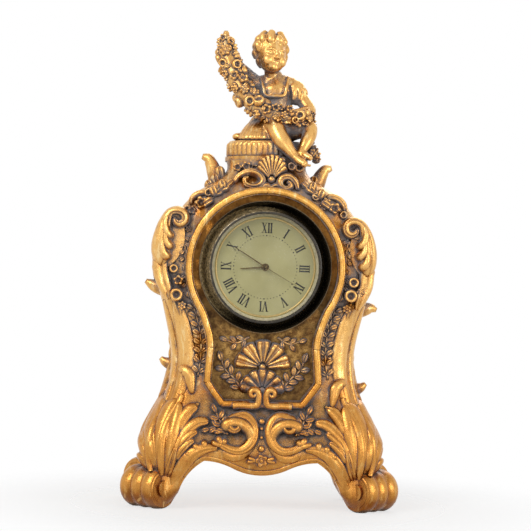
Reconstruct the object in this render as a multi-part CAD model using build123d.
"""Gilded rococo mantel clock with a round quartz insert, in millimetres.

X runs to the right seen from the front, Y to the back and Z up. The origin is on the
surface that the clock stands on, at the middle of its four scroll feet.
"""

from build123d import *
import math
import os

# The dial's middle above the ground; all that stands above the knees keeps its distance from it
DIAL_HEIGHT = 155.0

# The case outline: height, full width and full depth at each change of its form
APRON_HEIGHT = 20.0
APRON_WIDTH = 140.0
APRON_DEPTH = 82.0
KNEE_HEIGHT = 47.0
KNEE_WIDTH = 149.0
KNEE_DEPTH = 90.0
CALF_HEIGHT = 68.0
CALF_WIDTH = 128.0
CALF_DEPTH = 77.0
WAIST_HEIGHT = DIAL_HEIGHT - 58.0
WAIST_WIDTH = 116.0
WAIST_DEPTH = 69.0
FLANK_HEIGHT = DIAL_HEIGHT - 29.0
FLANK_WIDTH = 128.0
FLANK_DEPTH = 71.0
SHOULDER_HEIGHT = DIAL_HEIGHT + 3.0
SHOULDER_WIDTH = 140.0
SHOULDER_DEPTH = 74.0
BROW_HEIGHT = DIAL_HEIGHT + 31.0
BROW_WIDTH = 118.0
BROW_DEPTH = 71.0
NECK_HEIGHT = DIAL_HEIGHT + 49.0
NECK_WIDTH = 86.0
NECK_DEPTH = 66.0
PEDESTAL_HEIGHT = DIAL_HEIGHT + 60.0
PEDESTAL_WIDTH = 55.0
PEDESTAL_DEPTH = 55.0
LEDGE_HEIGHT = DIAL_HEIGHT + 68.5
LEDGE_WIDTH = 52.0
LEDGE_DEPTH = 52.0
CASE_CORNER = 17.0  # radius of the case's upright corners

# The scroll feet and the arches between them
FOOT_SPREAD_X = 179.0  # over the outside of the feet
FOOT_SPREAD_Y = 100.0
ROLL_RADIUS = 13.6
ROLL_LENGTH = 28.0
ROLL_LOBES = 3
ROLL_GROOVE = 1.5
ROLL_TURN = 45.0  # degrees that a foot points away from the front
EYE_RADIUS = 5.5
EYE_HEIGHT = 1.4
FOOT_FLAT = 0.6  # taken off each roll's underside, so that it stands flat
ARCH_CREST_X = 36.0  # where the front arch is highest
ARCH_CREST_HEIGHT = 31.5
ARCH_DROP_HEIGHT = 22.5  # the apron's lowest point, at its middle
ARCH_FOOT_X = 52.0  # the legs' inner sides at the ankle
ARCH_ANKLE_HEIGHT = 10.0
ARCH_FLOOR_X = 59.0
SIDE_ARCH_WIDTH = 26.0
SIDE_ARCH_HEIGHT = 27.0

# The quartz insert and its seat in the case
BEZEL_DIAMETER = 85.0
BEZEL_FOOT = DIAL_HEIGHT - BEZEL_DIAMETER / 2  # the bezel's lowest point
RIM_BAND = 3.3  # the bezel's bands, from its rim inwards
FLANK_BAND = 3.2
FACE_BAND = 1.65
BEZEL_RIM = 8.0  # from the case's floor to the rim's front
BEZEL_LIP = 0.8
BEZEL_FLOOR = 1.6  # metal left under the groove
GROOVE_DIAMETER = BEZEL_DIAMETER - 2 * RIM_BAND
BEZEL_FACE_DIAMETER = GROOVE_DIAMETER - 2 * FLANK_BAND
BEZEL_FACE = 9.8  # from the case's floor to the face round the lens
LENS_VIEW_DIAMETER = BEZEL_FACE_DIAMETER - 2 * FACE_BAND
LENS_HOLD = 0.9  # how far the bezel's lip covers the lens
SEAT_DIAMETER = LENS_VIEW_DIAMETER + 2 * LENS_HOLD  # bore that holds lens, ring, dial and plate
SEAT_CLEARANCE = 0.1
LENS_LIP = 1.0
LENS_THICKNESS = 1.5
LENS_DOME = 2.6
LENS_EDGE_GAP = 0.2  # from the dome's foot to the bezel's lip
RING_HEIGHT = 3.2
RING_BAND = 1.6  # how much of the ring is seen through the lens
RING_VIEW_DIAMETER = LENS_VIEW_DIAMETER - 2 * RING_BAND
DIAL_THICKNESS = 0.6
CUP_INSET = 1.5  # from the groove in to the cup's wall
CUP_DIAMETER = GROOVE_DIAMETER - 2 * CUP_INSET
CUP_WALL = 1.5
GRIP_THICKNESS = 1.1
GRIP_WIDTH = 5.0
GRIP_INSET = 0.7  # from the case's floor to the grip band
BORE_CLEARANCE = 0.1
BORE_DEPTH = 40.0  # from the case's floor to the back wall
ACCESS_DIAMETER = 56.0  # hand hole in the back wall
FLOOR_DEPTH = 28.0  # the sunk floor's distance in front of the clock's middle

# The sunk panel and its frame
PANEL_GAP = 4.0  # round the bezel
PANEL_WAIST_WIDTH = BEZEL_DIAMETER - 22.5
PANEL_WAIST_HEIGHT = BEZEL_FOOT - 9.5
PANEL_CORNER_WIDTH = BEZEL_DIAMETER - 19.0
PANEL_CORNER_HEIGHT = BEZEL_FOOT - 31.0
PANEL_FOOT_WIDTH = BEZEL_DIAMETER - 36.0
PANEL_FOOT_HEIGHT = BEZEL_FOOT - 42.5
PANEL_LEAVE_ANGLE = 34.0  # below level, where the frame leaves the dial's circle
FRAME_WIDTH = 5.0
FRAME_FRONT = 40.5  # in front of the clock's middle
FRAME_ROOT = 22.0  # depth at which the frame is rooted in the case
FRAME_STEP = 1.3  # in and back from the frame's edge to its crown

# The hands, as they stand in the photograph
HOUR_ANGLE = 265.2  # degrees clockwise from twelve
MINUTE_ANGLE = 302.0
SECOND_ANGLE = 120.0
HOUR_LENGTH = 16.0
MINUTE_LENGTH = 23.6
SECOND_LENGTH = 23.2
HOUR_WIDTH = 1.1
MINUTE_WIDTH = 0.9
SECOND_WIDTH = 0.4
HAND_THICKNESS = 0.3
HAND_STEP = 1.0  # from one hand to the next
HAND_LIFT = 1.0  # from the dial to the hour hand
HOUR_HUB = 2.4
MINUTE_HUB = 1.9
SECOND_HUB = 1.4
SECOND_TAIL = 2.5

# The movement: plates, levels and arbors
PLATE_THICKNESS = 1.5
GEAR_THICKNESS = 0.8
LEVEL_PITCH = 1.2
LEVEL_START = 0.3  # from the plate to the first wheel
LEVELS = 6
COVER_THICKNESS = 1.4
COVER_DIAMETER = 58.0
PILLAR_RADIUS = 2.2
PILLAR_CIRCLE = 48.0
PILLAR_START = 100.0  # degrees, where the first of the three pillars stands
PILLARS = 3
SCREW_RADIUS = 0.8
SCREW_LENGTH = 5.0
SCREW_HEAD_RADIUS = 1.6
SCREW_HEAD = 0.8
SECOND_ARBOR = 0.7  # radii
CANNON_BORE = 0.78
CANNON_RADIUS = 1.35
HOUR_PIPE_BORE = 1.43
HOUR_PIPE_RADIUS = 1.9
ARBOR_RADIUS = 0.5
STUD_RADIUS = 0.6
RUNNING_CLEARANCE = 0.06
PIVOT_DEPTH = 0.7

# The wheels: teeth, and the module that sets each pair's centre distance
TRAIN_MODULE = 0.25
ROTOR_TEETH = 6
INTERMEDIATE_TEETH = 30
INTERMEDIATE_PINION = 10
SECOND_TEETH = 60
SECOND_PINION = 8
THIRD_TEETH = 60
THIRD_PINION = 8
CENTRE_TEETH = 64
CANNON_TEETH = 12
MINUTE_TEETH = 36
MINUTE_PINION = 10
HOUR_TEETH = 40
SET_TEETH = 12
TOOTH_TIP = 0.75  # in modules above and below the pitch circle
TOOTH_ROOT = 1.15
TIP_SHARE = 0.10  # half thickness of a tooth, in pitches
ROOT_SHARE = 0.19
THIRD_DIRECTION = 210.0  # degrees, seen from the front
MINUTE_DIRECTION = 60.0
INTERMEDIATE_DIRECTION = -30.0

# The motor, circuit and power
MAGNET_RADIUS = 1.8
MAGNET_THICKNESS = 1.6
STATOR_HOLE = 2.3
STATOR_RING = 2.9
STATOR_THICKNESS = 0.8
COIL_RADIUS = 2.8
COIL_LENGTH = 11.0
COIL_CORE_RADIUS = 0.9
COIL_X = 6.0
COIL_Z = -16.0
BOARD_X = 17.0
BOARD_Z = 16.5
BOARD_WIDTH = 15.0
BOARD_HEIGHT = 11.0
BOARD_THICKNESS = 0.8
CHIP_SIZE = 4.0
CHIP_THICKNESS = 0.9
CRYSTAL_RADIUS = 1.0
CRYSTAL_LENGTH = 6.0
BATTERY_DIAMETER = 11.6
BATTERY_THICKNESS = 5.4
BATTERY_X = 18.0
BATTERY_Z = 3.0
BATTERY_CLEARANCE = 0.3
CONTACT_WIDTH = 2.4
CONTACT_THICKNESS = 0.3
BLADE_WIDTH = 1.0
BLADE_FOOT = 2.0  # how far the contacts stand on the board
BLADE_REACH = 3.0  # how far the blade lies along the button cell's side
HATCH_FLANGE = 1.0  # how far the hatch's rim covers its hole
HATCH_THICKNESS = 0.9
HATCH_SLOT_WIDTH = 1.6
HATCH_SLOT_DEPTH = 0.5
STEM_RADIUS = 1.0
KNOB_RADIUS = 4.6
KNOB_LENGTH = 6.0
KNOB_GAP = 0.4
KNOB_FLUTES = 18
KNOB_FLUTE_DEPTH = 0.5

# The ornament cast with the case
DRUM_RADIUS = 25.4
DRUM_HEIGHT = 10.5
DRUM_TOP_ROUND = 2.0
RIM_RADIUS = 27.2
RIM_HEIGHT = 3.0
SCROLL_TUBE = 4.2
SCROLL_SWEEP = 250.0
APRON_SCROLL_RADIUS = 10.5
APRON_SCROLL_X = 16.5
APRON_SCROLL_HEIGHT = 45.0
BEAD_RADIUS = 2.3
UPPER_BEAD_HEIGHT = 57.0
LOWER_BEAD_HEIGHT = 39.5
PALMETTE_HEIGHT = BEZEL_FOOT - 20.5  # where its lobes spring from
PALMETTE_LENGTH = 17.0
PALMETTE_WIDTH = 8.0
PALMETTE_SPREAD = 36.0  # degrees from lobe to lobe
SMALL_SHELL_HEIGHT = BEZEL_FOOT - 36.5
SMALL_SHELL_LENGTH = 13.0
SMALL_SHELL_WIDTH = 5.0
SMALL_SHELL_SPREAD = 30.0
CREST_SHELL_X = 3.0
CREST_SHELL_HEIGHT = DIAL_HEIGHT + 56.0
CREST_SHELL_LOBES = 5
CREST_SHELL_LENGTH = 16.6
CREST_SHELL_WIDTH = 3.8
CREST_SHELL_SPREAD = 13.0
LOBE_ROOT = 0.2  # share of a lobe's length from the spring to its root
LOBE_TAPER = 0.55  # a lobe's root against its tip
SHOULDER_SCROLL_TOP = DIAL_HEIGHT + 34.0
SHOULDER_SCROLL_FOOT = DIAL_HEIGHT - 5.0
SHOULDER_SCROLL_OUT = 1.8  # how far it stands out of the case's side
SHOULDER_SCROLL_WIDTH = 15.0
SHOULDER_SCROLL_FRONT = 37.8
SHOULDER_SCROLL_BACK = 14.0
CURL_RADIUS = 5.4
CURL_INSET = 2.0  # from the crescent's top corner in to the curl's middle
# The comma of the left shoulder leaf: X, height over the dial's middle and radius from curl to foot
SHOULDER_RIB = (
    (58.0, 33.0, 1.2),
    (63.0, 28.0, 3.0),
    (66.0, 18.0, 4.2),
    (66.2, 9.0, 4.4),
    (67.0, 1.0, 2.2),
)
RIGHT_LEAF_DROP = 4.0  # how much lower the right shoulder leaf lies than the left one
SHOULDER_RIB_SINK = 0.6  # how deep its middle lies under the crescent's face
# Main ribs of the leaf over a knee: X, height over the knee's middle and radius from its tip to its foot
KNEE_RIBS = (
    ((40.5, 20.0, 1.4), (48.6, 13.0, 2.4), (54.4, 3.5, 2.2), (57.0, -2.5, 1.2)),
    ((34.5, 7.6, 1.2), (44.0, 4.8, 2.4), (51.0, -1.5, 2.6), (55.0, -10.0, 2.2), (57.0, -19.0, 1.4)),
    ((51.0, 25.0, 1.8), (58.0, 11.5, 3.3), (62.8, -2.5, 3.4), (63.2, -14.0, 3.0), (63.0, -25.0, 1.8)),
    ((61.0, 20.5, 1.6), (66.8, 9.0, 3.0), (70.6, -4.0, 3.2), (70.8, -15.0, 2.6), (69.4, -23.0, 1.6)),
)
# Reeds up the waist's corners: degrees from the side round to the front, radius and rise over the corner
WAIST_REEDS = ((28.0, 2.2, 1.5), (57.0, 5.2, 1.9))
REED_END_RISE = 0.3
# Leaves down the case's sides: height over the dial's middle, radius and rise over the side, foot to tip
SIDE_LEAVES = (
    ((-95.0, 5.0, 1.6), (-81.0, 8.0, 3.2), (-60.0, 7.0, 2.8), (-40.0, 3.0, 0.6)),
    ((28.0, 4.0, 1.0), (15.0, 9.0, 3.2), (0.0, 8.0, 3.0), (-18.0, 3.0, 0.6)),
)
HORN_ROOT_RADIUS = 4.2
HORN_TIP_RADIUS = 2.2
HORN_ROOT_DEPTH = 7.0  # how deep a horn is rooted in the case's side
# Heights of the leaf tips on the left and the right side, and how far they reach out
UPPER_TIP_HEIGHTS = (DIAL_HEIGHT - 13.0, DIAL_HEIGHT - 25.0)
UPPER_TIP_REACH = 7.0
LOWER_TIP_HEIGHTS = (DIAL_HEIGHT - 64.0, DIAL_HEIGHT - 78.0)
LOWER_TIP_REACH = 6.5
EAR_TIP_HEIGHTS = (DIAL_HEIGHT + 71.0, DIAL_HEIGHT + 65.0)
EAR_REACH = 38.0
EAR_ROOT_HEIGHT = DIAL_HEIGHT + 52.0

# The seated child with the garland, cast apart and doweled to the drum
FIGURE_HEIGHT = DIAL_HEIGHT + 156.0
FIGURE_SEAT_CLEARANCE = 0.1
DOWEL_RADIUS = 3.0
DOWEL_LENGTH = 22.0
HEAD_RADIUS = 11.6
HEAD_X = 0.5
HEAD_Y = -4.0
HEAD_DROP = 5.5  # from the hair's middle down to the face's middle
GARLAND_TIP_X = -28.5
GARLAND_TIP_RADIUS = 3.0

# Places that follow from the sizes above
FLOOR_Y = -FLOOR_DEPTH
CASE_BACK = FLOOR_Y + BORE_DEPTH
DRUM_FOOT = LEDGE_HEIGHT + RIM_HEIGHT
DRUM_TOP = DRUM_FOOT + DRUM_HEIGHT
FACE_Y = FLOOR_Y - BEZEL_FACE
LENS_FRONT = FACE_Y + LENS_LIP
LENS_BACK = LENS_FRONT + LENS_THICKNESS
DIAL_FRONT = LENS_BACK + RING_HEIGHT
DIAL_BACK = DIAL_FRONT + DIAL_THICKNESS
PLATE_BACK = DIAL_BACK + PLATE_THICKNESS
COVER_FRONT = PLATE_BACK + LEVEL_START + LEVELS * LEVEL_PITCH
COVER_BACK = COVER_FRONT + COVER_THICKNESS
CUP_BACK = COVER_BACK + CUP_WALL
SEAT_FIT = SEAT_DIAMETER / 2 - SEAT_CLEARANCE
BORE_RADIUS = CUP_DIAMETER / 2 + GRIP_THICKNESS + BORE_CLEARANCE
HOUR_HAND_Y = DIAL_FRONT - HAND_LIFT
MINUTE_HAND_Y = HOUR_HAND_Y - HAND_STEP
SECOND_HAND_Y = MINUTE_HAND_Y - HAND_STEP
HATCH_HOLE = BATTERY_DIAMETER / 2 + BATTERY_CLEARANCE
BATTERY_BACK = COVER_BACK - BATTERY_CLEARANCE
BATTERY_FRONT = BATTERY_BACK - BATTERY_THICKNESS


def facing(x, y, z):
    """A plane square to Y at a place, turned to the front: its own axes are X and Z."""
    return Plane(origin=(x, y, z), x_dir=(1, 0, 0), z_dir=(0, -1, 0))


def round_bar(radius, front, back, x=0.0, z=DIAL_HEIGHT):
    """A round bar along Y between two depths."""
    bar = Cylinder(radius, back - front, align=(Align.CENTER, Align.CENTER, Align.MIN))
    return facing(x, back, z) * bar


def tube(radius, bore, front, back, x=0.0, z=DIAL_HEIGHT):
    """A round bar with a through bore."""
    return round_bar(radius, front, back, x, z) - round_bar(bore, front - 1, back + 1, x, z)


def slab(sketch, front, back, x=0.0, z=DIAL_HEIGHT):
    """A flat outline, drawn as seen from the front, given its depth along Y."""
    return extrude(facing(x, back, z) * sketch, amount=back - front)


def turned(outline):
    """A closed outline of (radius, depth) points turned round the dial's axis."""
    face = Plane.XY.offset(DIAL_HEIGHT) * make_face(Polyline(*outline, close=True))
    return revolve(face, axis=Axis((0, 0, DIAL_HEIGHT), (0, 1, 0)))


def polar(radius, degrees):
    """The X and Z of a point at a direction seen from the front."""
    turn = math.radians(degrees)
    return radius * math.cos(turn), radius * math.sin(turn)


def ball(radius, place):
    """A ball at a place."""
    return Pos(*place) * Sphere(radius)


def limb(start, end, start_radius, end_radius):
    """A round tapered bar between two balls, as an arm, a leg or a leaf tip."""
    a = Vector(*start)
    b = Vector(*end)
    along = b - a
    plane = Plane(origin=a, z_dir=along)
    if math.isclose(start_radius, end_radius):
        bar = Cylinder(start_radius, along.length, align=(Align.CENTER, Align.CENTER, Align.MIN))
    else:
        bar = Cone(start_radius, end_radius, along.length, align=(Align.CENTER, Align.CENTER, Align.MIN))
    return plane * bar + ball(start_radius, start) + ball(end_radius, end)


def ridge(rows):
    """A smooth round rib: a skin over circles, given as places with the radius at each."""
    places = [Vector(*place) for place, radius in rows]
    sections = []
    for index, (place, radius) in enumerate(rows):
        along = places[min(index + 1, len(rows) - 1)] - places[max(index - 1, 0)]
        across = along.cross(Vector(0, 1, 0))
        sections.append(Plane(origin=place, x_dir=across, z_dir=along) * Circle(radius))
    return loft(sections)


def skin(solid, start, way):
    """The place where a line from inside a solid leaves it."""
    return solid.find_intersection_points(Axis(start, way))[-1][0]


def fan(count, length, width, spread, x, y, height):
    """Round-ended lobes that spread like a shell or palmette from one spring."""
    tip_radius = width / 2
    root_radius = LOBE_TAPER * tip_radius
    lobes = []
    for index in range(count):
        direction = 90 + (index - (count - 1) / 2) * spread
        near_x, near_z = polar(LOBE_ROOT * length, direction)
        far_x, far_z = polar(length - tip_radius, direction)
        root = (x + near_x, y, height + near_z)
        tip = (x + far_x, y, height + far_z)
        lobes.append(limb(root, tip, root_radius, tip_radius))
    return lobes


def stations():
    """Height, half width and half depth at each change of the case's form."""
    return [
        (APRON_HEIGHT, APRON_WIDTH / 2, APRON_DEPTH / 2),
        (KNEE_HEIGHT, KNEE_WIDTH / 2, KNEE_DEPTH / 2),
        (CALF_HEIGHT, CALF_WIDTH / 2, CALF_DEPTH / 2),
        (WAIST_HEIGHT, WAIST_WIDTH / 2, WAIST_DEPTH / 2),
        (FLANK_HEIGHT, FLANK_WIDTH / 2, FLANK_DEPTH / 2),
        (SHOULDER_HEIGHT, SHOULDER_WIDTH / 2, SHOULDER_DEPTH / 2),
        (BROW_HEIGHT, BROW_WIDTH / 2, BROW_DEPTH / 2),
        (NECK_HEIGHT, NECK_WIDTH / 2, NECK_DEPTH / 2),
        (PEDESTAL_HEIGHT, PEDESTAL_WIDTH / 2, PEDESTAL_DEPTH / 2),
        (LEDGE_HEIGHT, LEDGE_WIDTH / 2, LEDGE_DEPTH / 2),
    ]


def case_half(height):
    """Half width and half depth of the case at a height, in a straight line between stations."""
    rows = stations()
    for (low, wide_low, deep_low), (high, wide_high, deep_high) in zip(rows, rows[1:]):
        if height <= high:
            share = max(0.0, (height - low) / (high - low))
            wide = wide_low + share * (wide_high - wide_low)
            deep = deep_low + share * (deep_high - deep_low)
            return wide, deep
    return rows[-1][1], rows[-1][2]


def case_block():
    """The case's swelling body, as a skin over rounded oblongs at its stations."""
    sections = []
    for height, wide, deep in stations():
        sections.append(Plane.XY.offset(height) * RectangleRounded(2 * wide, 2 * deep, CASE_CORNER))
    return loft(sections)


def foot_centre():
    """X and Y of a foot roll's middle, so that the four feet fill the stated spread."""
    turn = math.radians(ROLL_TURN)
    lobe = ROLL_LENGTH / ROLL_LOBES
    round_radius = (lobe**2 / 4 + ROLL_GROOVE**2) / (2 * ROLL_GROOVE)
    along = (ROLL_LENGTH - lobe) / 2
    across = ROLL_RADIUS - round_radius
    reach_x = along * math.cos(turn) + across * math.sin(turn) + round_radius
    reach_y = along * math.sin(turn) + across * math.cos(turn) + round_radius
    return FOOT_SPREAD_X / 2 - reach_x, FOOT_SPREAD_Y / 2 - reach_y


def foot_roll():
    """One lobed roll about its own Z, with a raised eye at each end."""
    lobe = ROLL_LENGTH / ROLL_LOBES
    start = -ROLL_LENGTH / 2
    groove = ROLL_RADIUS - ROLL_GROOVE
    edges = [Line((0, start), (groove, start))]
    for index in range(ROLL_LOBES):
        low = start + index * lobe
        edges.append(ThreePointArc((groove, low), (ROLL_RADIUS, low + lobe / 2), (groove, low + lobe)))
    edges.append(Line((groove, -start), (0, -start)))
    edges.append(Line((0, -start), (0, start)))
    roll = revolve(Plane.XZ * make_face(edges), axis=Axis.Z)
    return roll + Cylinder(EYE_RADIUS, ROLL_LENGTH + 2 * EYE_HEIGHT)


def leg(side, end):
    """A leg from the case's knee to its roll, at one corner."""
    centre_x, centre_y = foot_centre()
    knee = KNEE_WIDTH / 2
    rows = [
        (KNEE_HEIGHT - 7, ARCH_CREST_X + 2, knee - 2, 16.0, KNEE_DEPTH / 2 - 1),
        (APRON_HEIGHT + 4, ARCH_FOOT_X - 8, knee - 2.5, 15.0, KNEE_DEPTH / 2 - 3),
        (ROLL_RADIUS - 2, ARCH_FOOT_X - 1, centre_x + 4, 16.0, centre_y + 12),
        (FOOT_FLAT + 1.5, ARCH_FLOOR_X - 1, centre_x + 5, 20.0, centre_y + 10),
    ]
    sections = []
    for height, inner, outer, near, far in rows:
        middle = Pos(side * (inner + outer) / 2, end * (near + far) / 2, height)
        sections.append(middle * RectangleRounded(outer - inner, far - near, 7))
    turn = Rot(0, 0, side * end * -ROLL_TURN) * Rot(90, 0, 0) * Rot(0, 90, 0)
    roll = Pos(side * centre_x, end * centre_y, ROLL_RADIUS - FOOT_FLAT) * turn * foot_roll()
    return [loft(sections), roll]


def front_arch():
    """The opening under the apron, between the front and the back legs."""
    middle_x = ARCH_CREST_X / 2
    middle_height = (ARCH_CREST_HEIGHT + ARCH_DROP_HEIGHT) / 2
    crown = ThreePointArc(
        (-middle_x, middle_height), (0, ARCH_DROP_HEIGHT), (middle_x, middle_height)
    )
    edges = [crown]
    for side in (1, -1):
        crest = (side * ARCH_CREST_X, ARCH_CREST_HEIGHT)
        ankle = (side * ARCH_FOOT_X, ARCH_ANKLE_HEIGHT)
        floor = (side * ARCH_FLOOR_X, -1)
        rise = (side * 0.78 * ARCH_CREST_X, middle_height + 0.8 * (ARCH_CREST_HEIGHT - middle_height))
        fall = (
            side * (ARCH_CREST_X + 0.62 * (ARCH_FOOT_X - ARCH_CREST_X)),
            ARCH_ANKLE_HEIGHT + 0.58 * (ARCH_CREST_HEIGHT - ARCH_ANKLE_HEIGHT),
        )
        edges.append(ThreePointArc((side * middle_x, middle_height), rise, crest))
        edges.append(ThreePointArc(crest, fall, ankle))
        edges.append(Line(ankle, floor))
    edges.append(Line((-ARCH_FLOOR_X, -1), (ARCH_FLOOR_X, -1)))
    return slab(make_face(edges), -FOOT_SPREAD_Y, FOOT_SPREAD_Y, z=0)


def side_arch():
    """The round-headed opening between the front and the back leg of each side."""
    half = SIDE_ARCH_WIDTH / 2
    edges = [
        ThreePointArc((-half, -1), (0, SIDE_ARCH_HEIGHT), (half, -1)),
        Line((half, -1), (-half, -1)),
    ]
    plane = Plane(origin=(-FOOT_SPREAD_X, 0, 0), x_dir=(0, 1, 0), z_dir=(1, 0, 0))
    return extrude(plane * make_face(edges), amount=2 * FOOT_SPREAD_X)


def panel_outline():
    """The sunk panel: the dial's circle running down into a waisted, angled field."""
    radius = BEZEL_DIAMETER / 2 + PANEL_GAP
    leave_x, leave_z = polar(radius, -PANEL_LEAVE_ANGLE)
    leave_z += DIAL_HEIGHT
    waist_x = PANEL_WAIST_WIDTH / 2
    corner_x = PANEL_CORNER_WIDTH / 2
    foot_x = PANEL_FOOT_WIDTH / 2
    middle = (
        waist_x + 0.33 * (leave_x - waist_x),
        PANEL_WAIST_HEIGHT + 0.5 * (leave_z - PANEL_WAIST_HEIGHT),
    )
    edges = [ThreePointArc((leave_x, leave_z), (0, DIAL_HEIGHT + radius), (-leave_x, leave_z))]
    for side in (1, -1):
        waist = (side * waist_x, PANEL_WAIST_HEIGHT)
        corner = (side * corner_x, PANEL_CORNER_HEIGHT)
        foot = (side * foot_x, PANEL_FOOT_HEIGHT)
        edges.append(ThreePointArc((side * leave_x, leave_z), (side * middle[0], middle[1]), waist))
        edges.append(Line(waist, corner))
        edges.append(Line(corner, foot))
    edges.append(Line((-foot_x, PANEL_FOOT_HEIGHT), (foot_x, PANEL_FOOT_HEIGHT)))
    return make_face(edges)


def frame():
    """The raised frame that borders the sunk panel, with a narrower fillet on its crown."""
    outline = panel_outline()

    def grown(amount):
        return offset(outline, amount=amount, kind=Kind.INTERSECTION)

    border = grown(FRAME_WIDTH) - outline
    crown = grown(FRAME_WIDTH - FRAME_STEP) - grown(FRAME_STEP)
    body = slab(border, FRAME_STEP - FRAME_FRONT, -FRAME_ROOT, z=0)
    return body + slab(crown, -FRAME_FRONT, -FRAME_ROOT, z=0)


def shoulder_scroll(side):
    """The large crescent leaf on one shoulder, with the curl at its top."""
    drop = RIGHT_LEAF_DROP if side > 0 else 0.0
    top_height = SHOULDER_SCROLL_TOP - drop
    foot_height = SHOULDER_SCROLL_FOOT - drop
    middle_height = (top_height + foot_height) / 2
    outer = case_half(middle_height)[0] + SHOULDER_SCROLL_OUT
    top_x = case_half(top_height)[0] + 1
    foot_x = case_half(foot_height)[0] + 1
    top = (side * top_x, top_height)
    foot = (side * foot_x, foot_height)
    edges = [
        ThreePointArc(top, (side * outer, middle_height), foot),
        ThreePointArc(foot, (side * (outer - SHOULDER_SCROLL_WIDTH), middle_height), top),
    ]
    leaf = slab(make_face(edges), -SHOULDER_SCROLL_FRONT, -SHOULDER_SCROLL_BACK, z=0)
    curl = round_bar(
        CURL_RADIUS,
        -SHOULDER_SCROLL_FRONT - 1,
        -SHOULDER_SCROLL_BACK,
        side * (top_x - CURL_INSET),
        top_height - CURL_RADIUS,
    )
    depth = SHOULDER_RIB_SINK - SHOULDER_SCROLL_FRONT
    comma = ridge([((side * x, depth, DIAL_HEIGHT + z - drop), radius) for x, z, radius in SHOULDER_RIB])
    return [leaf, curl, comma]


def knee_ribs(solid):
    """The main ribs of the acanthus leaves over the four knees, laid on the solid that they dress."""
    ribs = []
    for row in KNEE_RIBS:
        rib = [(skin(solid, (x, 0, KNEE_HEIGHT + z), (0, -1, 0)), radius) for x, z, radius in row]
        front = ridge(rib)
        back = mirror(front, about=Plane.XZ)
        ribs += [front, back, mirror(front, about=Plane.YZ), mirror(back, about=Plane.YZ)]
    return ribs


def waist_reeds(solid):
    """The reeds up the four corners of the waist, from the calf to the flank."""
    reeds = []
    for direction, radius, rise in WAIST_REEDS:
        turn = math.radians(direction)
        way = (math.cos(turn), -math.sin(turn), 0)
        rows = []
        lifts = ((CALF_HEIGHT, REED_END_RISE), (WAIST_HEIGHT, rise), (FLANK_HEIGHT, REED_END_RISE))
        for height, lift in lifts:
            wide, deep = case_half(height)
            face = skin(solid, (wide - CASE_CORNER, CASE_CORNER - deep, height), way)
            rows.append((face + (lift - radius) * Vector(*way), radius))
        front = ridge(rows)
        back = mirror(front, about=Plane.XZ)
        reeds += [front, back, mirror(front, about=Plane.YZ), mirror(back, about=Plane.YZ)]
    return reeds


def side_leaves(solid):
    """The long leaves down the middle of the case's two sides."""
    leaves = []
    for row in SIDE_LEAVES:
        rows = []
        for height, radius, rise in row:
            face = skin(solid, (0, 0, DIAL_HEIGHT + height), (1, 0, 0))
            rows.append((face + Vector(rise - radius, 0, 0), radius))
        right = ridge(rows)
        leaves += [right, mirror(right, about=Plane.YZ)]
    return leaves


def leaf_tips():
    """The small leaf tips that stand out of the case's sides, and the ears of the pedestal."""
    tips = []
    for side, index in ((-1, 0), (1, 1)):
        for heights, reach in (
            (UPPER_TIP_HEIGHTS, UPPER_TIP_REACH),
            (LOWER_TIP_HEIGHTS, LOWER_TIP_REACH),
        ):
            height = heights[index]
            wide = case_half(height)[0]
            root = (side * (wide - HORN_ROOT_DEPTH), 0, height - 3)
            tip = (side * (wide + reach - HORN_TIP_RADIUS), 0, height)
            tips.append(limb(root, tip, HORN_ROOT_RADIUS, HORN_TIP_RADIUS))
        root_x = case_half(EAR_ROOT_HEIGHT)[0] - HORN_ROOT_DEPTH
        ear_root = (side * root_x, -8, EAR_ROOT_HEIGHT)
        ear_tip = (side * EAR_REACH, -8, EAR_TIP_HEIGHTS[index])
        tips.append(limb(ear_root, ear_tip, HORN_ROOT_RADIUS + 1.5, HORN_TIP_RADIUS))
    return tips


def apron_ornament():
    """The pair of facing C-scrolls on the apron and the two beads between them."""
    front = -case_half(APRON_SCROLL_HEIGHT)[1]
    pieces = []
    for side in (1, -1):
        ring = Torus(APRON_SCROLL_RADIUS, SCROLL_TUBE, major_angle=SCROLL_SWEEP)
        start = 180 - SCROLL_SWEEP / 2 if side > 0 else -SCROLL_SWEEP / 2
        place = facing(side * APRON_SCROLL_X, front + 1, APRON_SCROLL_HEIGHT)
        pieces.append(place * Rot(0, 0, start) * ring)
        for turn in (start, start + SCROLL_SWEEP):
            reach, rise = polar(APRON_SCROLL_RADIUS, turn)
            end = (side * APRON_SCROLL_X + reach, front + 1, APRON_SCROLL_HEIGHT + rise)
            pieces.append(ball(SCROLL_TUBE, end))
    for height in (UPPER_BEAD_HEIGHT, LOWER_BEAD_HEIGHT):
        pieces.append(ball(BEAD_RADIUS, (0, -case_half(height)[1], height)))
    return pieces


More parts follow.
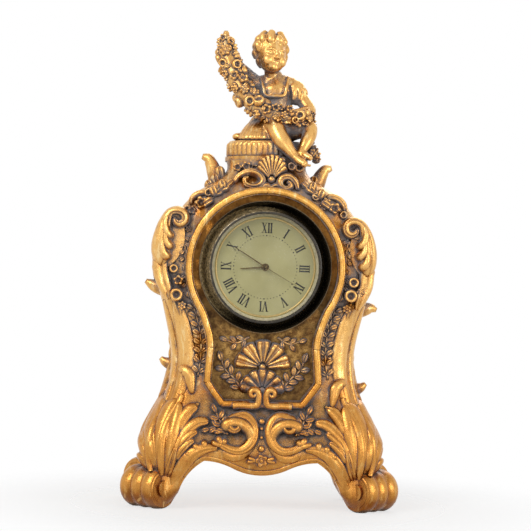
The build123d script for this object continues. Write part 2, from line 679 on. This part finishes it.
def case_body():
    """The cast case with its feet, frame and main ornament, bored for the insert."""
    solid = case_block()
    for side in (1, -1):
        for end in (1, -1):
            solid = solid.fuse(*leg(side, end))
    solid = solid.fuse(*knee_ribs(solid)).fuse(*waist_reeds(solid)).fuse(*side_leaves(solid))
    rim = Pos(0, 0, LEDGE_HEIGHT) * Cylinder(
        RIM_RADIUS, RIM_HEIGHT, align=(Align.CENTER, Align.CENTER, Align.MIN)
    )
    drum = Pos(0, 0, DRUM_FOOT) * Cylinder(
        DRUM_RADIUS, DRUM_HEIGHT, align=(Align.CENTER, Align.CENTER, Align.MIN)
    )
    drum = fillet(drum.edges().group_by(Axis.Z)[-1], DRUM_TOP_ROUND)
    solid = solid.fuse(rim, drum, *leaf_tips(), *shoulder_scroll(1), *shoulder_scroll(-1))
    solid = solid - front_arch() - side_arch()
    solid = solid - slab(panel_outline(), -FOOT_SPREAD_Y, FLOOR_Y, z=0)
    panel_front = FLOOR_Y + 0.5
    crest_front = -case_half(CREST_SHELL_HEIGHT)[1] + 1.0
    solid = solid.fuse(
        frame(),
        *fan(5, PALMETTE_LENGTH, PALMETTE_WIDTH, PALMETTE_SPREAD, 0, panel_front, PALMETTE_HEIGHT),
        *fan(
            7,
            SMALL_SHELL_LENGTH,
            SMALL_SHELL_WIDTH,
            SMALL_SHELL_SPREAD,
            0,
            panel_front,
            SMALL_SHELL_HEIGHT,
        ),
        *fan(
            CREST_SHELL_LOBES,
            CREST_SHELL_LENGTH,
            CREST_SHELL_WIDTH,
            CREST_SHELL_SPREAD,
            CREST_SHELL_X,
            crest_front,
            CREST_SHELL_HEIGHT,
        ),
        *apron_ornament(),
    )
    solid = solid - round_bar(BORE_RADIUS, FLOOR_Y - 0.01, CASE_BACK)
    solid = solid - round_bar(BEZEL_DIAMETER / 2 + BORE_CLEARANCE, -FOOT_SPREAD_Y, FLOOR_Y)
    solid = solid - round_bar(ACCESS_DIAMETER / 2, CASE_BACK - 1, FOOT_SPREAD_Y)
    floor = Pos(0, 0, -25) * Box(2 * FOOT_SPREAD_X, 2 * FOOT_SPREAD_Y, 50)
    return solid - floor - dowel()


def dowel():
    """The round pin that holds the figure on the drum, half in each."""
    return Pos(0, 0, DRUM_TOP) * Cylinder(DOWEL_RADIUS, DOWEL_LENGTH)


def figure():
    """The seated child in a short dress, with one arm raised behind a rope of flowers."""
    hair_z = FIGURE_HEIGHT - HEAD_RADIUS - 0.8
    face_z = hair_z - HEAD_DROP
    neck_z = face_z - HEAD_RADIUS
    seat_z = DRUM_TOP + 8
    chest_z = (neck_z + seat_z) / 2 + 4
    pieces = [
        ball(HEAD_RADIUS + 0.8, (HEAD_X, HEAD_Y + 1.5, hair_z)),
        ball(HEAD_RADIUS - 0.6, (HEAD_X, HEAD_Y - 1.5, face_z)),
        limb((HEAD_X + 2, HEAD_Y + 3, chest_z), (HEAD_X, HEAD_Y + 1, neck_z + 4), 5.5, 5.0),
        limb((4, 1, seat_z), (4, 1, chest_z), 14.5, 11.5),
        limb((-7, 1, chest_z + 5), (16, 1, chest_z + 5), 7.0, 7.0),
        ball(14.0, (-3, -5, seat_z - 1)),
        ball(11.5, (11, -7, seat_z - 1)),
        ball(5.5, (-15, -9, DRUM_TOP + 4)),
        ball(7.2, (19, 0, chest_z + 3)),
        limb((19, 0, chest_z + 4), (26, -5, chest_z - 9), 6.0, 4.6),
        limb((26, -5, chest_z - 9), (14, -15, chest_z - 14), 4.6, 3.6),
        limb((-7, 3, chest_z + 6), (-17, 5, chest_z + 15), 5.6, 4.8),
        limb((-17, 5, chest_z + 15), (-26, -2, chest_z + 22), 4.8, 3.8),
        limb((0, -4, seat_z), (6, -21, seat_z + 1), 8.0, 6.4),
        limb((6, -21, seat_z + 1), (18, -27, DRUM_FOOT - 1), 5.8, 3.6),
        limb((18, -27, DRUM_FOOT - 1), (23, -33, DRUM_FOOT - 4), 3.4, 2.8),
        limb((10, -3, seat_z), (26, -15, seat_z - 1), 8.0, 6.0),
        limb((26, -15, seat_z - 1), (23, -25, DRUM_FOOT + 5), 5.4, 3.8),
        limb((27, -8, DRUM_TOP + 2), (29, -16, DRUM_FOOT), 5.2, 4.6),
    ]
    garland = [
        ((25, -16, seat_z + 7), 4.6),
        ((10, -19, seat_z + 8), 5.4),
        ((-6, -18, seat_z + 11), 6.4),
        ((-17, -14, seat_z + 23), 7.4),
        ((-25, -9, seat_z + 39), 8.4),
        ((-29, -7, FIGURE_HEIGHT - 13), 7.4),
        ((GARLAND_TIP_X, -6, FIGURE_HEIGHT - GARLAND_TIP_RADIUS), GARLAND_TIP_RADIUS),
    ]
    for (start, start_radius), (end, end_radius) in zip(garland, garland[1:]):
        pieces.append(limb(start, end, start_radius, end_radius))
    solid = pieces[0].fuse(*pieces[1:])
    cut_radius = DRUM_RADIUS + FIGURE_SEAT_CLEARANCE
    room = Pos(0, 0, DRUM_TOP) * Cylinder(
        cut_radius, DRUM_HEIGHT, align=(Align.CENTER, Align.CENTER, Align.MAX)
    )
    rim_room = Pos(0, 0, DRUM_FOOT) * Cylinder(
        RIM_RADIUS + FIGURE_SEAT_CLEARANCE, 40, align=(Align.CENTER, Align.CENTER, Align.MAX)
    )
    return solid - room - rim_room - dowel()


def bezel():
    """The turned dark metal bezel: an outer dish, a groove and a flank up to the lens."""
    rim = BEZEL_DIAMETER / 2
    rim_y = FLOOR_Y - BEZEL_RIM
    groove_y = FLOOR_Y - BEZEL_FLOOR
    face = BEZEL_FACE_DIAMETER / 2
    view = LENS_VIEW_DIAMETER / 2
    seat = SEAT_DIAMETER / 2
    return turned(
        [
            (seat, FLOOR_Y),
            (rim, FLOOR_Y),
            (rim, rim_y + BEZEL_LIP),
            (rim - BEZEL_LIP, rim_y),
            (rim - 1.5 * BEZEL_LIP, rim_y + BEZEL_LIP / 2),
            (GROOVE_DIAMETER / 2, groove_y),
            (face, FACE_Y + 0.3),
            (face - 0.5, FACE_Y),
            (view, FACE_Y),
            (view, LENS_FRONT),
            (seat, LENS_FRONT),
        ]
    )


def lens():
    """The domed window."""
    edge = SEAT_FIT
    view = LENS_VIEW_DIAMETER / 2 - LENS_EDGE_GAP
    sphere = (view**2 + LENS_DOME**2) / (2 * LENS_DOME)
    apex = LENS_FRONT - LENS_DOME
    half = view / 2
    sag = sphere - math.sqrt(sphere**2 - half**2)
    back = LENS_THICKNESS
    edges = [
        Line((0, apex + back), (0, apex)),
        ThreePointArc((0, apex), (half, apex + sag), (view, LENS_FRONT)),
        Line((view, LENS_FRONT), (edge, LENS_FRONT)),
        Line((edge, LENS_FRONT), (edge, LENS_BACK)),
        Line((edge, LENS_BACK), (view, LENS_BACK)),
        ThreePointArc((view, LENS_BACK), (half, apex + sag + back), (0, apex + back)),
    ]
    face = Plane.XY.offset(DIAL_HEIGHT) * make_face(edges)
    return revolve(face, axis=Axis((0, 0, DIAL_HEIGHT), (0, 1, 0)))


def lens_ring():
    """The pale sloped ring between the window and the dial."""
    view = LENS_VIEW_DIAMETER / 2 - LENS_EDGE_GAP
    return turned(
        [
            (SEAT_FIT, LENS_BACK),
            (SEAT_FIT, DIAL_FRONT),
            (RING_VIEW_DIAMETER / 2, DIAL_FRONT),
            (view, LENS_BACK),
        ]
    )


def dial():
    """The printed dial with its centre hole."""
    return tube(SEAT_FIT, HOUR_PIPE_RADIUS + 0.4, DIAL_FRONT, DIAL_BACK)


def cup():
    """The back cup of the insert, with holes for the setting stem and the battery."""
    outer = CUP_DIAMETER / 2
    spigot = SEAT_FIT
    shell = turned(
        [
            (0, COVER_BACK),
            (spigot - CUP_WALL, COVER_BACK),
            (spigot - CUP_WALL, PLATE_BACK),
            (spigot, PLATE_BACK),
            (spigot, FLOOR_Y),
            (outer, FLOOR_Y),
            (outer, CUP_BACK),
            (0, CUP_BACK),
        ]
    )
    stem_x, stem_z = set_place()
    shell -= round_bar(STEM_RADIUS + SEAT_CLEARANCE, COVER_BACK - 1, CUP_BACK + 1, stem_x, stem_z)
    return shell - round_bar(
        HATCH_HOLE, COVER_BACK - 1, CUP_BACK + 1, BATTERY_X, DIAL_HEIGHT + BATTERY_Z
    )


def grip_band():
    """The rubber band round the cup that grips the case's bore."""
    start = FLOOR_Y + GRIP_INSET
    return tube(CUP_DIAMETER / 2 + GRIP_THICKNESS, CUP_DIAMETER / 2, start, start + GRIP_WIDTH)


def hand(length, width, hub, bore, front, angle, tail=0.0):
    """A slim tapering hand with a round boss, pointing clockwise from twelve."""
    blade = make_face(
        Polyline(
            (-width / 2, 0),
            (-0.25 * width, length),
            (0.25 * width, length),
            (width / 2, 0),
            (0.4 * width, -tail),
            (-0.4 * width, -tail),
            close=True,
        )
    )
    outline = Rot(0, 0, -angle) * (blade + Circle(hub)) - Circle(bore)
    return slab(outline, front, front + HAND_THICKNESS)


def hour_hand():
    return hand(HOUR_LENGTH, HOUR_WIDTH, HOUR_HUB, HOUR_PIPE_RADIUS, HOUR_HAND_Y, HOUR_ANGLE)


def minute_hand():
    return hand(MINUTE_LENGTH, MINUTE_WIDTH, MINUTE_HUB, CANNON_RADIUS, MINUTE_HAND_Y, MINUTE_ANGLE)


def second_hand():
    return hand(
        SECOND_LENGTH, SECOND_WIDTH, SECOND_HUB, SECOND_ARBOR, SECOND_HAND_Y, SECOND_ANGLE, SECOND_TAIL
    )


def level(index):
    """Front and back depth of one level of wheels, counted from the plate."""
    front = PLATE_BACK + LEVEL_START + index * LEVEL_PITCH
    return front, front + GEAR_THICKNESS


def centre_distance(first, second, module=TRAIN_MODULE):
    """How far apart two meshed wheels stand."""
    return (first + second) * module / 2


# Centre distances, and the modules of the second pair on each shared centre line
MINUTE_DISTANCE = centre_distance(CANNON_TEETH, MINUTE_TEETH)
HOUR_MODULE = 2 * MINUTE_DISTANCE / (MINUTE_PINION + HOUR_TEETH)
SET_DISTANCE = centre_distance(MINUTE_TEETH, SET_TEETH)
THIRD_DISTANCE = centre_distance(SECOND_PINION, THIRD_TEETH)
CENTRE_MODULE = 2 * THIRD_DISTANCE / (THIRD_PINION + CENTRE_TEETH)
INTERMEDIATE_DISTANCE = centre_distance(INTERMEDIATE_PINION, SECOND_TEETH)
ROTOR_DISTANCE = centre_distance(ROTOR_TEETH, INTERMEDIATE_TEETH)


def placed(distance, direction):
    """X and Z of an arbor at a distance and direction from the dial's centre."""
    x, z = polar(distance, direction)
    return x, DIAL_HEIGHT + z


def minute_place():
    return placed(MINUTE_DISTANCE, MINUTE_DIRECTION)


def set_place():
    return placed(MINUTE_DISTANCE + SET_DISTANCE, MINUTE_DIRECTION)


def third_place():
    return placed(THIRD_DISTANCE, THIRD_DIRECTION)


def intermediate_place():
    return placed(INTERMEDIATE_DISTANCE, INTERMEDIATE_DIRECTION)


def rotor_place():
    return placed(INTERMEDIATE_DISTANCE + ROTOR_DISTANCE, INTERMEDIATE_DIRECTION)


def meshed(driver_teeth, driver_phase, direction, teeth):
    """Phase of a wheel so that its gap meets the driver's tooth, in degrees.

    direction points from the driver's centre to the wheel's centre.
    """
    driver_share = ((direction - driver_phase) * driver_teeth / 360) % 1
    return direction + 180 - (0.5 - driver_share) * 360 / teeth


MINUTE_PHASE = meshed(CANNON_TEETH, 0, MINUTE_DIRECTION, MINUTE_TEETH)
MINUTE_PINION_PHASE = 0.0
HOUR_PHASE = meshed(MINUTE_PINION, MINUTE_PINION_PHASE, MINUTE_DIRECTION + 180, HOUR_TEETH)
SET_PHASE = meshed(MINUTE_TEETH, MINUTE_PHASE, MINUTE_DIRECTION, SET_TEETH)
THIRD_PHASE = meshed(SECOND_PINION, 0, THIRD_DIRECTION, THIRD_TEETH)
CENTRE_PHASE = meshed(THIRD_PINION, 0, THIRD_DIRECTION + 180, CENTRE_TEETH)
INTERMEDIATE_PINION_PHASE = meshed(SECOND_TEETH, 0, INTERMEDIATE_DIRECTION, INTERMEDIATE_PINION)
ROTOR_PHASE = meshed(INTERMEDIATE_TEETH, 0, INTERMEDIATE_DIRECTION, ROTOR_TEETH)


def gear(teeth, module, phase, index, place, bore=0.0):
    """A toothed wheel on one level, with straight-flanked teeth and room for backlash."""
    pitch = teeth * module / 2
    tip = pitch + TOOTH_TIP * module
    root = pitch - TOOTH_ROOT * module
    points = []
    for tooth in range(teeth):
        middle = phase + tooth * 360 / teeth
        for radius, share in ((root, -ROOT_SHARE), (tip, -TIP_SHARE), (tip, TIP_SHARE), (root, ROOT_SHARE)):
            points.append(polar(radius, middle + share * 360 / teeth))
    outline = make_face(Polyline(*points, close=True))
    if bore:
        outline -= Circle(bore)
    front, back = level(index)
    return slab(outline, front, back, *place)


CENTRE_PLACE = (0.0, DIAL_HEIGHT)


def hour_wheel():
    """The hour wheel with the pipe that carries the hour hand."""
    wheel = gear(HOUR_TEETH, HOUR_MODULE, HOUR_PHASE, 0, CENTRE_PLACE, HOUR_PIPE_BORE)
    pipe = tube(HOUR_PIPE_RADIUS, HOUR_PIPE_BORE, HOUR_HAND_Y, level(0)[1])
    return wheel + pipe


def cannon_pinion():
    """The cannon pinion, whose pipe carries the minute hand and the centre wheel."""
    pinion = gear(CANNON_TEETH, TRAIN_MODULE, 0, 1, CENTRE_PLACE, CANNON_BORE)
    pipe = tube(CANNON_RADIUS, CANNON_BORE, MINUTE_HAND_Y, level(2)[1])
    return pinion + pipe


def centre_wheel():
    """The driven wheel that grips the cannon pinion's pipe by friction."""
    bore = CANNON_RADIUS + RUNNING_CLEARANCE / 2
    return gear(CENTRE_TEETH, CENTRE_MODULE, CENTRE_PHASE, 2, CENTRE_PLACE, bore)


def seconds_wheel():
    """The seconds wheel, its pinion and the long arbor that carries the second hand."""
    arbor = round_bar(SECOND_ARBOR, SECOND_HAND_Y, COVER_FRONT + PIVOT_DEPTH)
    wheel = gear(SECOND_TEETH, TRAIN_MODULE, 0, 4, CENTRE_PLACE)
    pinion = gear(SECOND_PINION, TRAIN_MODULE, 0, 3, CENTRE_PLACE)
    return arbor.fuse(wheel, pinion)


def arbor_at(place):
    """An arbor between the plate and the cover, with a pivot in each."""
    return round_bar(ARBOR_RADIUS, PLATE_BACK - PIVOT_DEPTH, COVER_FRONT + PIVOT_DEPTH, *place)


def third_wheel():
    wheel = gear(THIRD_TEETH, TRAIN_MODULE, THIRD_PHASE, 3, third_place())
    pinion = gear(THIRD_PINION, CENTRE_MODULE, 0, 2, third_place())
    return arbor_at(third_place()).fuse(wheel, pinion)


def intermediate_wheel():
    wheel = gear(INTERMEDIATE_TEETH, TRAIN_MODULE, 0, 5, intermediate_place())
    pinion = gear(
        INTERMEDIATE_PINION, TRAIN_MODULE, INTERMEDIATE_PINION_PHASE, 4, intermediate_place()
    )
    return arbor_at(intermediate_place()).fuse(wheel, pinion)


def minute_wheel():
    """The motion-work wheel and pinion, which turn on a stud of the plate."""
    bore = STUD_RADIUS + RUNNING_CLEARANCE
    wheel = gear(MINUTE_TEETH, TRAIN_MODULE, MINUTE_PHASE, 1, minute_place(), bore)
    pinion = gear(MINUTE_PINION, HOUR_MODULE, MINUTE_PINION_PHASE, 0, minute_place(), bore)
    sleeve = tube(1.1, bore, level(0)[1] - 0.2, level(1)[0] + 0.2, *minute_place())
    return pinion.fuse(wheel, sleeve)


def magnet_levels():
    """Front and back depth of the rotor's magnet, beside the third level."""
    middle = sum(level(3)) / 2
    return middle - MAGNET_THICKNESS / 2, middle + MAGNET_THICKNESS / 2


def rotor():
    """The stepping motor's rotor: magnet, arbor and pinion."""
    place = rotor_place()
    front, back = magnet_levels()
    pinion = gear(ROTOR_TEETH, TRAIN_MODULE, ROTOR_PHASE, 5, place)
    return arbor_at(place).fuse(round_bar(MAGNET_RADIUS, front, back, *place), pinion)


def set_stem():
    """The setting stem and its pinion."""
    place = set_place()
    pinion = gear(SET_TEETH, TRAIN_MODULE, SET_PHASE, 1, place)
    stem = round_bar(STEM_RADIUS, PLATE_BACK - PIVOT_DEPTH, CUP_BACK + KNOB_GAP + KNOB_LENGTH - 1, *place)
    return stem + pinion


def set_knob():
    """The fluted knob on the end of the setting stem."""
    x, z = set_place()
    front = CUP_BACK + KNOB_GAP
    back = front + KNOB_LENGTH
    points = []
    for step in range(2 * KNOB_FLUTES):
        radius = KNOB_RADIUS - KNOB_FLUTE_DEPTH * (step % 2)
        points.append(polar(radius, step * 180 / KNOB_FLUTES))
    knob = slab(make_face(Polyline(*points, close=True)), front, back, x, z)
    return knob - round_bar(STEM_RADIUS, front - 1, back - 1, x, z)


def pillar_places():
    return [placed(PILLAR_CIRCLE / 2, PILLAR_START + index * 360 / PILLARS) for index in range(PILLARS)]


def main_plate():
    """The front plate with its pillars, the minute wheel's stud and the pivot holes."""
    plate = round_bar(SEAT_FIT, DIAL_BACK, PLATE_BACK)
    stud = round_bar(STUD_RADIUS, PLATE_BACK - 0.2, level(1)[1], *minute_place())
    pillars = [round_bar(PILLAR_RADIUS, PLATE_BACK - 0.2, COVER_FRONT, *place) for place in pillar_places()]
    plate = plate.fuse(stud, *pillars)
    plate -= round_bar(HOUR_PIPE_RADIUS + RUNNING_CLEARANCE, DIAL_BACK - 1, PLATE_BACK + 1)
    pivot = ARBOR_RADIUS + RUNNING_CLEARANCE
    for place in (third_place(), intermediate_place(), rotor_place()):
        plate -= round_bar(pivot, PLATE_BACK - PIVOT_DEPTH - SEAT_CLEARANCE, PLATE_BACK + 1, *place)
    plate -= round_bar(
        STEM_RADIUS + RUNNING_CLEARANCE,
        PLATE_BACK - PIVOT_DEPTH - SEAT_CLEARANCE,
        PLATE_BACK + 1,
        *set_place(),
    )
    for place in pillar_places():
        plate -= round_bar(SCREW_RADIUS, COVER_BACK - SCREW_LENGTH, COVER_FRONT + 1, *place)
    return plate


def module_cover():
    """The rear plate of the movement, with pivot holes and the battery's opening."""
    cover = round_bar(COVER_DIAMETER / 2, COVER_FRONT, COVER_BACK)
    deep = COVER_FRONT + PIVOT_DEPTH + SEAT_CLEARANCE
    cover -= round_bar(SECOND_ARBOR + RUNNING_CLEARANCE, COVER_FRONT - 1, deep)
    pivot = ARBOR_RADIUS + RUNNING_CLEARANCE
    for place in (third_place(), intermediate_place(), rotor_place()):
        cover -= round_bar(pivot, COVER_FRONT - 1, deep, *place)
    cover -= round_bar(STEM_RADIUS + RUNNING_CLEARANCE, COVER_FRONT - 1, COVER_BACK + 1, *set_place())
    cover -= round_bar(HATCH_HOLE, COVER_FRONT - 1, COVER_BACK + 1, BATTERY_X, DIAL_HEIGHT + BATTERY_Z)
    for place in pillar_places():
        cover -= round_bar(SCREW_RADIUS, COVER_FRONT - 1, COVER_BACK + 1, *place)
        cover -= round_bar(SCREW_HEAD_RADIUS, COVER_BACK - SCREW_HEAD, COVER_BACK + 1, *place)
    return cover


def module_screws():
    """The screws that close the movement."""
    screws = []
    for place in pillar_places():
        shank = round_bar(SCREW_RADIUS, COVER_BACK - SCREW_LENGTH, COVER_BACK - SCREW_HEAD / 2, *place)
        head = round_bar(SCREW_HEAD_RADIUS, COVER_BACK - SCREW_HEAD, COVER_BACK, *place)
        screws.append(shank + head)
    return Compound(children=screws)


def stator():
    """The soft-iron stator: a ring round the rotor and two arms to the coil's core."""
    x, z = rotor_place()
    front = sum(level(3)) / 2 - STATOR_THICKNESS / 2
    back = front + STATOR_THICKNESS
    coil_z = DIAL_HEIGHT + COIL_Z
    ring = round_bar(STATOR_RING, front, back, x, z)
    left = COIL_X - COIL_LENGTH / 2 - 1.5
    right = COIL_X + COIL_LENGTH / 2 + 1.5
    arm = 2.0
    pieces = [ring]
    right_arm = Polyline(
        (right - arm / 2, coil_z - arm / 2),
        (right + arm / 2, coil_z - arm / 2),
        (x + arm / 2, z),
        (x - arm / 2, z),
        close=True,
    )
    left_arm = Polyline(
        (left - arm / 2, coil_z - arm / 2),
        (left + arm / 2, coil_z - arm / 2),
        (left + arm / 2, coil_z + 3.4),
        (x - 0.5, z - 1.6),
        (x - 1.4, z),
        (left - arm / 2, coil_z + 4.6),
        close=True,
    )
    for outline in (right_arm, left_arm):
        pieces.append(slab(make_face(outline), front, back, z=0))
    plate = pieces[0].fuse(*pieces[1:])
    return plate - round_bar(STATOR_HOLE, front - 1, back + 1, x, z)


def coil_axis():
    """Plane at the coil's middle, with its normal along X, in front of the stator."""
    depth = sum(level(3)) / 2 - STATOR_THICKNESS / 2 - COIL_CORE_RADIUS
    return Plane(origin=(COIL_X, depth, DIAL_HEIGHT + COIL_Z), x_dir=(0, 1, 0), z_dir=(1, 0, 0))


def coil_core():
    """The iron core that joins the stator's two arms through the coil."""
    return coil_axis() * Cylinder(COIL_CORE_RADIUS, COIL_LENGTH + 5)


def coil():
    """The wound coil on its bobbin."""
    bobbin = Cylinder(COIL_RADIUS - 0.5, COIL_LENGTH)
    for end in (1, -1):
        bobbin += Pos(0, 0, end * (COIL_LENGTH / 2 - 0.4)) * Cylinder(COIL_RADIUS, 0.8)
    return coil_axis() * (bobbin - Cylinder(COIL_CORE_RADIUS, 2 * COIL_LENGTH))


def board_box(x, z, width, height, front, back):
    """A small oblong plate at a place on the board."""
    return slab(Rectangle(width, height), front, back, x, DIAL_HEIGHT + z)


BOARD_FRONT = PLATE_BACK
BOARD_BACK = BOARD_FRONT + BOARD_THICKNESS


def circuit_board():
    return board_box(BOARD_X, BOARD_Z, BOARD_WIDTH, BOARD_HEIGHT, BOARD_FRONT, BOARD_BACK)


def chip():
    """The sealed driver chip."""
    back = BOARD_BACK + CHIP_THICKNESS
    return board_box(BOARD_X - 4, BOARD_Z + 2, CHIP_SIZE, CHIP_SIZE, BOARD_BACK, back)


def quartz_crystal():
    """The crystal's metal can, lying on the board."""
    can = Cylinder(CRYSTAL_RADIUS, CRYSTAL_LENGTH)
    place = (BOARD_X + 3.5, BOARD_BACK + CRYSTAL_RADIUS, DIAL_HEIGHT + BOARD_Z + 3)
    return Plane(origin=place, x_dir=(0, 1, 0), z_dir=(1, 0, 0)) * can


def battery():
    return round_bar(BATTERY_DIAMETER / 2, BATTERY_FRONT, BATTERY_BACK, BATTERY_X, DIAL_HEIGHT + BATTERY_Z)


def battery_contact_minus():
    """The strip from the board to the button cell's front face."""
    low = BATTERY_Z
    high = BOARD_Z - BOARD_HEIGHT / 2 + BLADE_FOOT
    strip = board_box(
        BATTERY_X,
        (low + high) / 2,
        CONTACT_WIDTH,
        high - low,
        BATTERY_FRONT - CONTACT_THICKNESS,
        BATTERY_FRONT,
    )
    foot = board_box(
        BATTERY_X, high - 0.6, CONTACT_WIDTH, 1.2, BOARD_BACK, BATTERY_FRONT
    )
    return strip + foot


def battery_contact_plus():
    """The blade from the board that lies against the button cell's side."""
    high = BOARD_Z - BOARD_HEIGHT / 2 + BLADE_FOOT
    x = BATTERY_X + CONTACT_WIDTH + BLADE_WIDTH
    inner = x - BATTERY_X - BLADE_WIDTH / 2
    low = BATTERY_Z + math.sqrt(BATTERY_DIAMETER**2 / 4 - inner**2)
    return board_box(x, (low + high) / 2, BLADE_WIDTH, high - low, BOARD_BACK, BATTERY_FRONT + BLADE_REACH)


def battery_cover():
    """The round hatch with a coin slot that closes the battery's opening."""
    x = BATTERY_X
    z = DIAL_HEIGHT + BATTERY_Z
    plug = round_bar(HATCH_HOLE - SEAT_CLEARANCE, COVER_BACK - 0.1, CUP_BACK + 0.1, x, z)
    rim = round_bar(HATCH_HOLE + HATCH_FLANGE, CUP_BACK, CUP_BACK + HATCH_THICKNESS, x, z)
    slot = slab(
        Rectangle(HATCH_HOLE * 2, HATCH_SLOT_WIDTH),
        CUP_BACK + HATCH_THICKNESS - HATCH_SLOT_DEPTH,
        CUP_BACK + HATCH_THICKNESS + 1,
        x,
        z,
    )
    return plug + rim - slot


NODES = {
    "case_body": case_body,
    "figure": figure,
    "figure_dowel": dowel,
    "bezel": bezel,
    "lens": lens,
    "lens_ring": lens_ring,
    "dial": dial,
    "insert_cup": cup,
    "grip_band": grip_band,
    "hour_hand": hour_hand,
    "minute_hand": minute_hand,
    "second_hand": second_hand,
    "hour_wheel": hour_wheel,
    "minute_wheel": minute_wheel,
    "cannon_pinion": cannon_pinion,
    "centre_wheel": centre_wheel,
    "third_wheel": third_wheel,
    "seconds_wheel": seconds_wheel,
    "intermediate_wheel": intermediate_wheel,
    "rotor": rotor,
    "set_stem": set_stem,
    "set_knob": set_knob,
    "main_plate": main_plate,
    "module_cover": module_cover,
    "module_screws": module_screws,
    "stator": stator,
    "coil_core": coil_core,
    "coil": coil,
    "circuit_board": circuit_board,
    "driver_chip": chip,
    "quartz_crystal": quartz_crystal,
    "battery": battery,
    "battery_contact_minus": battery_contact_minus,
    "battery_contact_plus": battery_contact_plus,
    "battery_cover": battery_cover,
}


def main():
    os.makedirs("parts", exist_ok=True)
    for name, make in NODES.items():
        export_step(make(), f"parts/{name}.step")


main()
